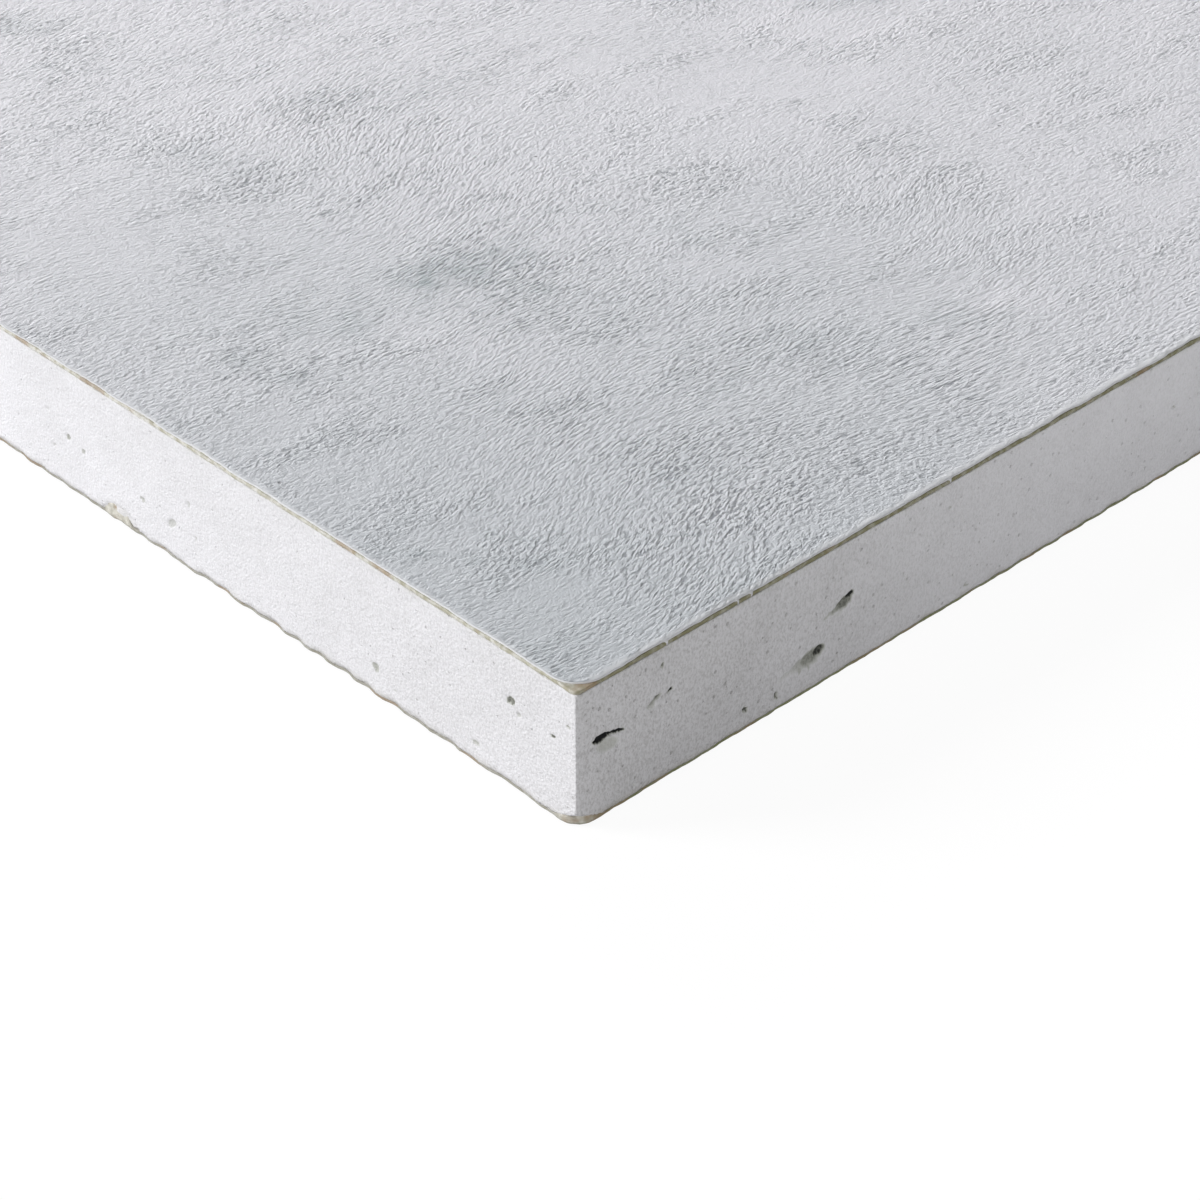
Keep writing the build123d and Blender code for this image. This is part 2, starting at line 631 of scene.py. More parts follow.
@dataclass(frozen=True)
class Flap:
    """The chip in the long edge and the torn tongue of back paper in it."""

    chip_along: float = 54.2
    chip_width: float = 4.8
    chip_rise: float = 1.5
    tongue_along: float = 54.75
    tongue_width: float = 3.5
    tongue_rise: float = 1.2
    crease: tuple[tuple[float, float], ...] = ((55.0, 1.2), (54.3, 1.55), (53.5, 2.2))

    @staticmethod
    def dome(near: np.ndarray, along: float, width: float, rise: float) -> np.ndarray:
        """Give half an ellipse's height over the long edge, 0 beside it."""
        across = np.clip((-near - along) / (width / 2.0), -1.0, 1.0)
        return rise * np.sqrt(np.clip(1.0 - across * across, 0.0, 1.0))

    def chip(self, near: np.ndarray) -> np.ndarray:
        """Give the chip's height above the core's bottom."""
        return self.dome(near, self.chip_along, self.chip_width, self.chip_rise)

    def lift(self, near: np.ndarray) -> np.ndarray:
        """Give the tongue's height above the paper at each station."""
        return self.dome(near, self.tongue_along, self.tongue_width, self.tongue_rise)

    def creased(self, near: np.ndarray, z: np.ndarray) -> np.ndarray:
        """Give the darkness of the brown crease across the tongue."""
        first, middle, last = self.crease
        one = line_distance(-near, z, first, middle)
        two = line_distance(-near, z, middle, last)
        return bell(np.minimum(one, two), 0.16)


@dataclass(frozen=True)
class Core:
    """The white gypsum body with its voids."""

    plate: Plate
    top: float
    knock: Knock
    flap: Flap
    ragged: Ragged
    corner_radius: float = 0.16
    rough_depth: float = 0.012
    swell_depth: float = 0.02
    sawn_reach: float = 60.0
    sawn_fade: float = 40.0
    wobble: float = 0.07
    crushed_share: float = 0.72
    chip_depth: float = 0.16
    # Reaches of the painted shade near the corner, on the long and short edges.
    corner_shade_long: float = 52.0
    corner_shade_end: float = 40.0
    levels: Spacing = Spacing(
        0.24, 84.0, 0.0, 60.0,
        ((5.1, 1.0, 1.6), (9.0, 0.9, 1.3), (11.2, 0.7, 0.6)),
    )
    spacing_long: Spacing = Spacing(
        0.27, 84.0, 0.14, 60.0,
        ((1.5, 1.6, 0.8), (6.8, 0.9, 1.2), (22.0, 0.8, 1.2), (24.0, 1.8, 0.5),
         (47.0, 1.0, 0.8), (54.0, 3.0, 0.8), (60.6, 1.0, 0.8)),
    )
    spacing_end: Spacing = Spacing(
        0.27, 84.0, 0.14, 60.0,
        ((3.1, 2.0, 1.6), (7.9, 1.5, 1.0), (23.6, 2.4, 1.2), (27.6, 1.5, 1.6)),
    )

    def build(self, finish: bpy.types.Material) -> bpy.types.Object:
        """Make the cut edges as one band and cap it.

        Each point is the outline moved inwards by the sum of a fine sawn
        unevenness, the voids' depths, the knock, the flap's chip and the
        torn bottom edge.

        Args:
            finish: the plaster's material.

        Returns:
            The core.
        """
        plate = self.plate
        ring = Ring.of(plate, self.corner_radius, self.spacing_long, self.spacing_end)
        z = (plate.high - self.levels.along(plate.high - plate.low))[::-1, None]
        near = ring.near[None, :]
        s, drop, height = np.abs(near), self.top - z, z - plate.low
        local = bell(np.maximum(0.0, s - self.sawn_reach), self.sawn_fade)
        rough = self.rough_depth * (1.0 + Ripple(0.9, 11, 16).field(near, z))
        swell = self.swell_depth * (1.0 + Ripple(5.0, 12, 9).field(near, z))
        inward = np.clip((rough + swell) * local, 0.0, None)
        hollow = np.zeros_like(inward)
        wobble = self.wobble * Ripple(0.7, 13, 12).field(near, z)
        # Painted shade: voids and hairlines darken the plaster through this value, standing in
        # for the shade in their hollows.
        for void in VOIDS:
            fill = void.fill(s + wobble, drop + wobble)
            fill = np.where(void.cut.holds(near), fill, -9.0)
            inward += void.depth * np.clip(fill, 0.0, 1.0) ** (0.5 + 0.5 * void.soft)
            hollow = np.maximum(hollow, void.shade * ease(fill, -0.45, void.soft))
        for line in HAIRLINES:
            marked = line.cut.holds(near) * line.mark(s + 2.0 * wobble, drop)
            hollow = np.maximum(hollow, marked)
        crushed = np.clip(self.knock.fold(near) - height, 0.0, None)
        inward += self.crushed_share * (crushed * self.knock.run / self.knock.rise)
        chip = self.flap.chip(near + 2.0 * wobble)
        inward += self.chip_depth * (ease(chip - height, 0.0, 0.25) * (chip > 0.0))
        inward += self.ragged.along(near) * ease(self.ragged.rise - height, 0.0, 0.5)
        # Tan stain beside the papers and in the chip; along the bottom edge it is partly
        # painted shade.
        stain = np.maximum(
            0.5 * ease(chip + 0.25 - height, 0.0, 0.6) * (chip > 0.0),
            0.9 * bell(height, 0.38) + 0.5 * bell(plate.high - z, 0.3),
        )
        stain = stain * (0.5 + 0.5 * Ripple(2.2, 14, 9).field(near, z * 0.5))
        # Painted shade: the plaster darkens towards the near corner, twice as strongly on the
        # short edge.
        corner_shade = np.where(
            near < 0.0, bell(s, self.corner_shade_long), 2.0 * bell(s, self.corner_shade_end)
        )
        rows = np.stack([ring.row(inward[i], z[i]) for i in range(z.size)])
        values = {
            "hollow": hollow,
            "stain": np.clip(stain, 0.0, 1.0),
            "handled": np.broadcast_to(corner_shade, hollow.shape),
        }
        return Body.band("gypsum_core_cut", rows, values).build(finish, "gypsum_core")


# The papers


@dataclass(frozen=True)
class FacePaper:
    """The tan paper between the core and the facing."""

    plate: Plate
    corner_radius: float = 0.5
    ragged: float = 0.1
    bulge: float = 0.03
    spacing: Spacing = Spacing(0.3, 84.0, 0.14, 60.0)
    levels: tuple[float, ...] = (0.0, 0.12, 0.35, 0.6, 0.85, 1.0)

    def build(self, finish: bpy.types.Material) -> bpy.types.Object:
        """Carry the paper's ragged edge round the sheet and cap it.

        Args:
            finish: the paper's material.

        Returns:
            The face paper.
        """
        ring = Ring.of(self.plate, self.corner_radius, self.spacing, self.spacing)
        thick = self.plate.high - self.plate.low
        wave = 0.5 + 0.5 * Ripple(2.4, 21).line(ring.near)
        rows = []
        for i, part in enumerate(self.levels):
            frayed = 0.5 + 0.5 * Ripple(0.8, 22 + i, 9).line(ring.near)
            inward = self.ragged * np.clip(0.6 * wave + 0.5 * frayed, 0.0, 1.2)
            inward = inward + self.bulge * (2.0 * part - 1.0) ** 2
            rows.append(ring.row(inward, self.plate.low + thick * part))
        rows = np.stack(rows)
        # Painted shade: the paper's edge on the short edge is darkened; near the corner the
        # long edge's is darker too.
        corner_darkening = 0.28 * bell(ring.near, 28.0)
        grime = np.maximum(ease(ring.near, -0.4, 0.5), corner_darkening)
        grime = np.broadcast_to(grime, rows.shape[:2])
        rust = np.broadcast_to(0.16 * bell(ring.near + 0.3, 1.5), rows.shape[:2])
        values = {"grime": grime * (1.0 - 0.6 * rust), "rusted": rust}
        return Body.band("face_paper_cut", rows, values).build(finish, "face_paper")


@dataclass(frozen=True)
class BackPaper:
    """The grey-tan paper under the core, with its fold and torn tongue."""

    plate: Plate
    core_low: float
    knock: Knock
    flap: Flap
    ragged: Ragged
    corner_radius: float = 1.8
    tongue: float = 0.24
    spacing: Spacing = Spacing(0.3, 84.0, 0.14, 60.0, ((54.0, 3.0, 0.6), (0.0, 2.5, 0.6)))

    def build(self, finish: bpy.types.Material) -> bpy.types.Object:
        """Carry the edge round the sheet, raised at the fold and the tongue.

        Args:
            finish: the paper's material.

        Returns:
            The back paper.
        """
        ring = Ring.of(self.plate, self.corner_radius, self.spacing, self.spacing)
        near, low, high = ring.near, self.plate.low, self.core_low
        wave = self.ragged.along(near)
        frayed = 0.04 * np.clip(0.5 + 0.5 * Ripple(0.9, 32, 9).line(near), 0.0, 1.0)
        lift = self.flap.lift(near)
        rise = np.maximum(self.knock.fold(near), lift)
        tongue = lift > 0.0
        wide = np.where(tongue, self.tongue, np.clip(self.knock.run - np.abs(near), 0.3, None))
        profile = (
            (frayed + 0.09, low),
            (frayed + 0.02, low + 0.05),
            (0.0, low + 0.15),
            (frayed, high - 0.03),
            (0.02, high + 0.25 * rise),
            (0.02 + 0.04 * rise, high + 0.5 * rise),
            (0.03 + 0.04 * rise, high + 0.75 * rise),
            (0.05 + 0.04 * rise, high + 0.96 * rise),
            (0.11 + 0.04 * rise, high + rise),
            (0.11 + wide, high + 0.85 * rise * tongue),
            (0.19 + wide, high),
        )
        rows = np.stack([ring.row(wave + inward, z) for inward, z in profile])
        height = rows[..., 2]
        # Painted shade: the paper's edge on the short edge is darkened, less where it is
        # raised.
        grime = ease(near, -0.4, 0.5) * (1.0 - 0.6 * ease(rise, 0.0, 0.5))
        bare = ease(rise, 0.02, 0.4) * ease(height, low + 0.1, high)
        rust = np.maximum(
            self.flap.creased(near, height) * tongue,
            0.3 * bell(near, 1.6) * ease(height, low + 0.1, high + 0.5),
        )
        values = {
            "grime": np.broadcast_to(grime, height.shape), "bare": bare, "rusted": rust,
        }
        return Body.band("back_paper_cut", rows, values).build(finish, "back_paper")


# The facing


@dataclass(frozen=True)
class Sweep:
    """One stroke of the brush: where it pressed harder or left a smudge.

    Places are distances from the short edge and from the long edge.
    """

    start: tuple[float, float]
    end: tuple[float, float]
    half_width: float
    emboss: float
    smudge: float = 0.0

    def cover(self, a: np.ndarray, b: np.ndarray) -> np.ndarray:
        """Give how much the stroke covers each place, 1 on its line."""
        return bell(line_distance(a, b, self.start, self.end), self.half_width)


SWEEPS = (
    Sweep((4.2, 12.5), (8.0, 25.0), 4.6, 0.9, -0.1),
    Sweep((8.5, 24.0), (8.0, 36.0), 5.2, 0.9, -0.25),
    Sweep((8.0, 41.0), (9.0, 49.0), 4.4, 0.95),
    Sweep((14.0, 50.0), (12.5, 58.0), 3.6, 0.95, 0.1),
    Sweep((21.5, 44.0), (17.5, 54.0), 2.4, 0.8, 0.5),
    Sweep((28.0, 39.5), (21.0, 49.0), 1.6, 0.7, 0.3),
    Sweep((29.0, 36.1), (27.5, 37.5), 1.9, 0.7, 0.4),
    Sweep((22.0, 34.5), (20.5, 36.5), 1.6, 0.4, 0.6),
    Sweep((2.0, 47.0), (2.0, 56.0), 1.6, 0.8),
    Sweep((31.0, 65.0), (30.0, 67.5), 2.0, 0.5, 0.5),
    Sweep((28.0, 72.0), (27.0, 75.0), 2.2, 0.55, 0.3),
    Sweep((17.0, 57.0), (13.5, 58.0), 1.5, 0.5, 0.6),
    Sweep((50.7, 40.0), (52.0, 46.0), 1.5, 0.4, 0.7),
    Sweep((52.0, 46.0), (49.0, 51.0), 1.3, 0.4, 0.6),
    Sweep((43.0, 52.0), (39.5, 51.0), 1.5, 0.4, 0.6),
    Sweep((49.5, 20.0), (50.0, 29.0), 2.4, 0.55, 1.3),
    Sweep((50.0, 29.0), (48.5, 38.0), 2.4, 0.55, 1.5),
    Sweep((46.0, 34.0), (37.5, 38.5), 1.5, 0.5, 0.7),
    Sweep((40.0, 30.0), (34.0, 44.0), 3.6, 0.35, 0.1),
    Sweep((57.0, 15.0), (52.0, 30.0), 3.0, 0.3, 0.15),
    Sweep((81.0, 30.0), (78.0, 32.0), 2.4, 0.65, 0.9),
    Sweep((83.0, 27.0), (74.0, 38.0), 4.0, 0.45, 0.2),
    Sweep((83.0, 45.0), (76.0, 56.0), 3.4, 0.5, 0.5),
    Sweep((76.0, 40.0), (66.0, 52.0), 5.0, 0.4, 0.1),
    Sweep((105.0, 33.0), (96.0, 43.0), 4.5, 0.4, 0.4),
    Sweep((117.0, 31.0), (113.0, 36.0), 2.4, 0.6, 0.8),
    Sweep((65.0, 93.0), (60.0, 99.0), 1.8, 0.4, 0.9),
    Sweep((51.5, 9.5), (50.0, 12.0), 1.5, 0.5, 0.6),
    Sweep((47.0, 10.5), (43.5, 15.0), 1.4, 0.4, 0.5),
    Sweep((22.0, 1.4), (20.5, 2.2), 1.2, 0.7, 0.7),
    Sweep((17.8, 4.4), (17.0, 5.0), 0.8, 0.5, 0.4),
    Sweep((13.4, 8.2), (12.6, 9.2), 0.9, 0.7, 0.6),
    Sweep((14.0, 22.5), (13.0, 24.5), 1.4, 0.3, 0.5),
    Sweep((70.0, 68.0), (52.0, 72.0), 9.0, -0.25, -0.3),
    Sweep((45.0, 23.0), (36.0, 28.0), 4.0, -0.1, -0.45),
    Sweep((66.0, 86.0), (58.0, 92.0), 5.0, -0.1, -0.4),
    Sweep((15.5, 62.0), (13.5, 64.5), 2.2, -0.2, -0.6),
    Sweep((3.0, 5.0), (8.0, 6.0), 3.0, -0.25),
    Sweep((37.0, 47.5), (34.0, 50.0), 2.6, -0.2, -0.3),
    Sweep((76.0, 12.0), (66.0, 22.0), 7.0, -0.25, -0.1),
    Sweep((17.0, 28.0), (14.0, 34.0), 3.6, 0.95),
    Sweep((24.5, 37.0), (18.5, 44.0), 3.6, 0.8),
    Sweep((46.0, 33.0), (38.0, 42.0), 4.0, 0.65),
    Sweep((76.0, 41.0), (70.0, 47.0), 4.0, 0.65),
    Sweep((88.0, 29.0), (82.0, 35.0), 4.0, 0.65),
    Sweep((70.0, 27.0), (66.0, 32.0), 3.6, 0.6),
    Sweep((56.0, 82.0), (50.0, 84.0), 8.0, -0.15),
    Sweep((30.0, 96.0), (16.0, 86.0), 8.0, -0.15),
    Sweep((3.0, 2.0), (9.0, 11.0), 5.0, -0.35),
    Sweep((14.0, 3.0), (40.0, 6.0), 4.5, -0.3),
    Sweep((18.0, 12.0), (32.0, 14.0), 4.0, -0.15),
)


@dataclass(frozen=True)
class Swirl:
    """A place where the brush's direction turns away from its usual one."""

    a: float
    b: float
    reach: float
    turn: float


SWIRLS = (
    Swirl(64.0, 15.0, 20.0, -14.0),
    Swirl(10.0, 17.0, 19.0, 25.0),
    Swirl(24.0, 57.0, 8.0, -22.0),
    Swirl(70.0, 42.0, 17.0, 24.0),
    Swirl(66.0, 76.0, 11.0, -26.0),
    Swirl(34.0, 70.0, 10.0, 22.0),
    Swirl(36.0, 26.0, 6.0, 16.0),
)


NICKS = (8.7, 15.9, 17.3, 39.0)
AT_CORNER = (0.0, 1.6, 2.8)
AT_FAR_RIM = (10.0, 3.0, 1.2, 0.6, 0.3, 0.12)


@dataclass(frozen=True)
class Facing:
    """The thin textured facing with its worn corner and raised cut lip.

    The nicks are places on the short edge, where the facing hangs down.
    """

    plate: Plate
    face_plate: Plate
    corner_radius: float = 2.4
    edge_round: float = 0.08
    ragged: float = 0.14
    lip_height: float = 0.03
    lip_reach: float = 0.3
    lip_end: float = 0.25
    lip_long: float = 0.15
    lip_long_share: float = 0.12
    fall_end: float = 0.04
    fall_long: float = 0.012
    fall_reach: float = 0.16
    swell: float = 0.011
    deepest: float = 0.15
    nick_reach: float = 0.14
    nick_hang: float = 0.34
    underside_inset: float = 0.4
    brush_heading: float = 90.0
    spacing_long: Spacing = Spacing(0.6, 122.0, 0.12, 40.0, (AT_CORNER,), AT_FAR_RIM)
    spacing_end: Spacing = Spacing(
        0.6, 122.0, 0.12, 40.0,
        (AT_CORNER, *((place, 0.3, 3.5) for place in NICKS)), AT_FAR_RIM,
    )

    def build(self, finish: bpy.types.Material) -> bpy.types.Object:
        """Make the embossed top as a grid and hang its cut edge from it.

        Inside the worn corner, a point of the square grid keeps its
        direction from the arc's centre and takes its larger side as its
        distance, which turns the square corner into the arc. The ragged
        cut fades over the first millimetre and a half.

        Args:
            finish: the facing's material.

        Returns:
            The facing.
        """
        plate, radius = self.plate, self.corner_radius
        inset = self.edge_round
        x1, y0 = plate.right - inset, plate.front + inset
        a_line = self.spacing_long.along(plate.right - plate.left - 2.0 * inset)
        b_line = self.spacing_end.along(plate.back - plate.front - 2.0 * inset)
        a, b = np.meshgrid(a_line, b_line)
        bend = (a < radius) & (b < radius)
        p, q = radius - a, radius - b
        far = np.maximum(np.abs(p), np.abs(q))
        span = np.maximum(np.hypot(p, q), 1e-9)
        a = np.where(bend, radius - p * far / span, a)
        b = np.where(bend, radius - q * far / span, b)
        wave_end = self.wave(b - radius, 41)
        wave_long = self.wave(a - radius, 42)
        a2 = a + wave_end * bell(a, 1.5)
        b2 = b + wave_long * bell(b, 1.5)
        top = plate.high - self.relief(a2, b2, a_line[-1], b_line[-1])
        grid = np.stack([x1 - a2, y0 + b2, top], axis=-1)
        ring = Ring.walk(plate, inset, radius, a_line, b_line, a_line, b_line)
        rim = Body.rim_of(np.arange(a.size).reshape(a.shape))
        x, y, z = grid.reshape(-1, 3)[rim].T
        nick = np.zeros(rim.size)
        for place in NICKS:
            nick = np.maximum(nick, bell(ring.near - place, self.nick_reach))
        edge = replace(ring, x=x, y=y)
        out = inset + (self.face_plate.right - inset - x) * nick
        thick = 0.97 * (plate.high - plate.low)
        skirt = np.stack([
            edge.row(-0.7 * inset, np.maximum(z - 0.18 * thick, plate.low)),
            edge.row(-out, np.maximum(z - 0.45 * thick, plate.low)),
            edge.row(-out, plate.low - self.nick_hang * nick),
            edge.row(self.underside_inset, plate.low),
        ])
        emboss, smudge = self.brushed(a, b)
        flat = np.zeros(skirt.shape[:2])
        values = {
            "emboss": emboss, "smudge": smudge, "drawn": self.drawn(a, b),
            "worn": self.worn(a, b), "comb": self.comb(a, b),
        }
        skirt_values = {
            "emboss": flat, "smudge": flat, "drawn": flat, "worn": flat + 1.0,
            "comb": np.zeros(skirt.shape),
        }
        body = Body.lid("textured_facing_top", grid, skirt, values, skirt_values)
        return body.build(finish, "textured_facing")

    def wave(self, s: np.ndarray, seed: int) -> np.ndarray:
        """Give how far the cut strays inwards at a distance along it."""
        uneven = 0.5 + 0.35 * Ripple(4.0, seed).line(s)
        fine = 0.2 * Ripple(1.5, seed + 5, 9).line(s)
        return self.ragged * np.clip(uneven + fine, 0.0, 1.2) * ease(s, 0.0, 3.0)

    def relief(
        self, a: np.ndarray, b: np.ndarray, size_a: float, size_b: float
    ) -> np.ndarray:
        """Give the depth of the surface below the layer's highest plane.

        The field lies at the lip's height below the plane. It rises towards
        the plane in a lip a fraction of a millimetre from each cut, far
        lower along the long edges, and falls again at the cut itself.
        Broad brushed swells are added.

        Args:
            a: distance from the short edge.
            b: distance from the long edge.
            size_a: the length of the long edge.
            size_b: the length of the short edge.

        Returns:
            The depth in millimetres, never below zero.
        """
        edge_end = np.minimum(a, size_a - a)
        edge_long = np.minimum(b, size_b - b)
        lip_end = bell(edge_end - self.lip_end, self.lip_reach)
        lip_long = self.lip_long_share * bell(edge_long - self.lip_long, self.lip_reach)
        chatter = 0.75 + 0.25 * Ripple(1.1, 53, 12).line(b)
        lip = np.maximum(lip_end * np.clip(chatter, 0.3, 1.0), lip_long)
        fall = self.fall_end * bell(edge_end, self.fall_reach)
        fall = fall + self.fall_long * bell(edge_long, self.fall_reach)
        along = a * 0.53 + b * 0.85
        across = a * 0.85 - b * 0.53
        waves = Ripple(6.0, 51, 18).field(across, along * 0.4)
        swell = self.swell * (1.0 + waves) * self.known(a, b)
        return np.clip(self.lip_height * (1.0 - lip) + fall + swell, 0.0, self.deepest)

    @staticmethod
    def known(a: np.ndarray, b: np.ndarray) -> np.ndarray:
        """Give 1 where the near corner's own marks lie, fading to 0 far off."""
        return bell(np.maximum(0.0, np.hypot(a, b) - 130.0), 45.0)

    def brushed(self, a: np.ndarray, b: np.ndarray) -> tuple[np.ndarray, np.ndarray]:
        """Add up the sweeps over a clumped ground.

        The ground is a field of waves drawn out along the brush's direction
        and eased between two levels. Each sweep strays a little and is
        broken up by a finer field.

        Args:
            a: distance from the short edge.
            b: distance from the long edge.

        Returns:
            The emboss strength, 0.08 to 1, and the smudge with painted shade, -0.6 to 1.
        """
        heading = math.radians(self.brush_heading)
        along = -a * math.cos(heading) + b * math.sin(heading)
        across = a * math.sin(heading) + b * math.cos(heading)
        clumps = Ripple(5.2, 61, 26).field(along * 0.45, across)
        flecks = Ripple(1.9, 63, 26).field(along * 0.6, across)
        stray = 0.9 * Ripple(3.6, 64, 20).field(a, b)
        broken = np.clip(0.72 + 0.3 * clumps + 0.28 * flecks, 0.15, 1.35)
        emboss = 0.36 + 0.36 * ease(clumps, -0.2, 1.1) + 0.16 * ease(flecks, 0.1, 1.2)
        smudge = 0.1 * ease(clumps + 0.6 * flecks, 0.2, 1.4)
        for sweep in SWEEPS:
            cover = sweep.cover(a + stray, b - stray)
            emboss += (sweep.emboss - 0.2) * cover * broken * (1.0 - np.clip(emboss, 0.0, 0.7))
            smudge += 0.42 * sweep.smudge * cover * broken
        near = self.known(a, b)
        emboss = 0.4 * (1.0 - near) + near * emboss
        # Painted shade: the top darkens towards the near corner.
        smudge = 0.65 * near * smudge + 0.62 * bell(np.hypot(a, b), 68.0)
        return np.clip(emboss, 0.08, 1.0), np.clip(smudge, -0.6, 1.0)

    def drawn(self, a: np.ndarray, b: np.ndarray) -> np.ndarray:
        """Give how drawn out the strokes are, 0 to 1.

        Close to the corner they are short dashes. From about 40 mm out they
        lengthen in patches, where a slow field of waves is high. One bell
        beside the short edge holds the longest.

        Args:
            a: distance from the short edge.
            b: distance from the long edge.

        Returns:
            0 for dashes and 1 for streaks.
        """
        patches = ease(Ripple(16.0, 68, 14).field(a, b), -0.5, 0.6)
        lined = 0.75 * bell(np.hypot(a - 12.0, b - 53.0), 15.0)
        return np.maximum(0.3 * patches * ease(np.maximum(a, b), 34.0, 56.0), lined)

    def worn(self, a: np.ndarray, b: np.ndarray) -> np.ndarray:
        """Give how much the cut smoothed and whitened the rim, 0 to 1.

        Args:
            a: distance from the short edge.
            b: distance from the long edge.

        Returns:
            1 at the short edge's rim, half at the long one's, 0 in the field.
        """
        reach = 0.6 + 0.25 * Ripple(2.4, 62, 12).line(b) + 0.15 * Ripple(0.9, 67, 12).line(b)
        reach = np.maximum(reach, 0.2) + 0.007 * np.clip(b, 0.0, 90.0)
        end = 1.0 - ease(a, 0.1 * reach, reach)
        long_cut = 0.5 * (1.0 - ease(b, 0.05, 0.3))
        return np.maximum(end, long_cut)

    def comb(self, a: np.ndarray, b: np.ndarray) -> np.ndarray:
        """Turn the brush direction inside the swirls, and let it stray.

        Each swirl turns the pattern round its own middle, fading out with
        distance. Two fields of waves about four millimetres long then
        shift it by a fraction of a millimetre.

        Args:
            a: distance from the short edge.
            b: distance from the long edge.

        Returns:
            The pattern's local shift as a vector in millimetres.
        """
        x, y = -a, b
        shift = np.zeros((*a.shape, 3))
        for swirl in SWIRLS:
            dx, dy = x + swirl.a, y - swirl.b
            turn = math.radians(-swirl.turn) * bell(np.hypot(dx, dy), swirl.reach)
            shift[..., 0] += np.cos(turn) * dx - np.sin(turn) * dy - dx
            shift[..., 1] += np.sin(turn) * dx + np.cos(turn) * dy - dy
        stray = 0.05 * self.known(a, b)
        shift[..., 0] += stray * Ripple(4.0, 65, 20).field(a, b)
        shift[..., 1] += stray * Ripple(4.0, 66, 20).field(a, b)
        return shift


# Finishes


@dataclass
class Wiring:
    """A node tree being wired, with short calls for the nodes used here."""

    tree: bpy.types.NodeTree

    @classmethod
    def group(cls, name: str, result: str, *numbers: str) -> "Wiring":
        """Start a shader node group that takes a place and a pitch.

        Args:
            name: the group's name.
            result: the name of the number that it puts out.
            numbers: the names of the numbers that it takes besides.

        Returns:
            The group's wiring, with its ends in place.
        """
        tree = bpy.data.node_groups.new(name, "ShaderNodeTree")
        sockets = [("Place", "INPUT", "Vector"), (result, "OUTPUT", "Float")]
        sockets += [(label, "INPUT", "Float") for label in ("Pitch", *numbers)]
        for label, way, kind in sockets:
            tree.interface.new_socket(label, in_out=way, socket_type=f"NodeSocket{kind}")
        wiring = cls(tree)
        wiring.add("NodeGroupInput")
        wiring.add("NodeGroupOutput")
        return wiring

    def add(self, kind: str, **settings: object) -> bpy.types.Node:
        """Add a node and set its properties."""
        node = self.tree.nodes.new(kind)
        for label, value in settings.items():
            setattr(node, label, value)
        return node

    def given(self, label: str) -> bpy.types.NodeSocket:
        """Return one of the group's inputs."""
        return self.tree.nodes["Group Input"].outputs[label]

    def give(self, label: str, value: bpy.types.NodeSocket) -> None:
        """Send a value to one of the group's outputs."""
        self.feed(self.tree.nodes["Group Output"].inputs[label], value)

    def feed(self, socket: bpy.types.NodeSocket, value: object) -> None:
        """Link a socket to another, or set it to a plain value."""
        if isinstance(value, bpy.types.NodeSocket):
            self.tree.links.new(value, socket)
        else:
            socket.default_value = value

    def maths(
        self, operation: str, first: object, second: object = 0.0, clamp: bool = False
    ) -> bpy.types.NodeSocket:
        """Work out one sum."""
        node = self.add("ShaderNodeMath", operation=operation, use_clamp=clamp)
        self.feed(node.inputs[0], first)
        self.feed(node.inputs[1], second)
        return node.outputs[0]

    def vector(
        self, operation: str, first: object, second: object
    ) -> bpy.types.NodeSocket:
        """Work out one vector sum; SCALE takes a number second."""
        node = self.add("ShaderNodeVectorMath", operation=operation)
        self.feed(node.inputs[0], first)
        self.feed(node.inputs["Scale" if operation == "SCALE" else 1], second)
        return node.outputs[0]

    def times(
        self, first: object, second: object, clamp: bool = False
    ) -> bpy.types.NodeSocket:
        """Work out one product."""
        return self.maths("MULTIPLY", first, second, clamp)

    def counted(self) -> bpy.types.NodeSocket:
        """Give the group's place counted in its own pitch."""
        inverse = self.maths("DIVIDE", 1.0, self.given("Pitch"))
        return self.vector("SCALE", self.given("Place"), inverse)

    def noise(self, place: object, detail: float) -> bpy.types.NodeSocket:
        """Add a noise texture at a place."""
        node = self.add("ShaderNodeTexNoise")
        self.feed(node.inputs["Vector"], place)
        self.feed(node.inputs["Scale"], 1.0)
        self.feed(node.inputs["Detail"], detail)
        return node.outputs["Fac"]

    def span(
        self, value: object, low: object, high: object,
        out_low: object = 0.0, out_high: object = 1.0,
    ) -> bpy.types.NodeSocket:
        """Map a range smoothly onto another."""
        node = self.add("ShaderNodeMapRange", interpolation_type="SMOOTHSTEP")
        for label, one in (
            ("Value", value), ("From Min", low), ("From Max", high),
            ("To Min", out_low), ("To Max", out_high),
        ):
            self.feed(node.inputs[label], one)
        return node.outputs["Result"]

    def stretch(
        self, place: object, turn: float, size: tuple[float, float, float]
    ) -> bpy.types.NodeSocket:
        """Turn a place about Z in degrees, then divide it by three sizes."""
        turned = self.add("ShaderNodeVectorRotate", rotation_type="Z_AXIS")
        self.feed(turned.inputs["Vector"], place)
        turned.inputs["Angle"].default_value = math.radians(turn)
        return self.vector("DIVIDE", turned.outputs[0], size)

    def tint(
        self, factor: object, first: object, second: object
    ) -> bpy.types.NodeSocket:
        """Mix two colours."""
        node = self.add("ShaderNodeMix", data_type="RGBA", blend_type="MIX")
        self.feed(node.inputs["Factor"], factor)
        self.feed(node.inputs[6], first)
        self.feed(node.inputs[7], second)
        return node.outputs[2]

    def bump(
        self, height: object, size: float, under: object = None
    ) -> bpy.types.NodeSocket:
        """Tilt the normal by a height from 0 to 1 that stands for a size in mm."""
        node = self.add("ShaderNodeBump")
        node.inputs["Strength"].default_value = 1.0
        node.inputs["Distance"].default_value = size * MM
        self.feed(node.inputs["Height"], height)
        if under is not None:
            self.feed(node.inputs["Normal"], under)
        return node.outputs["Normal"]

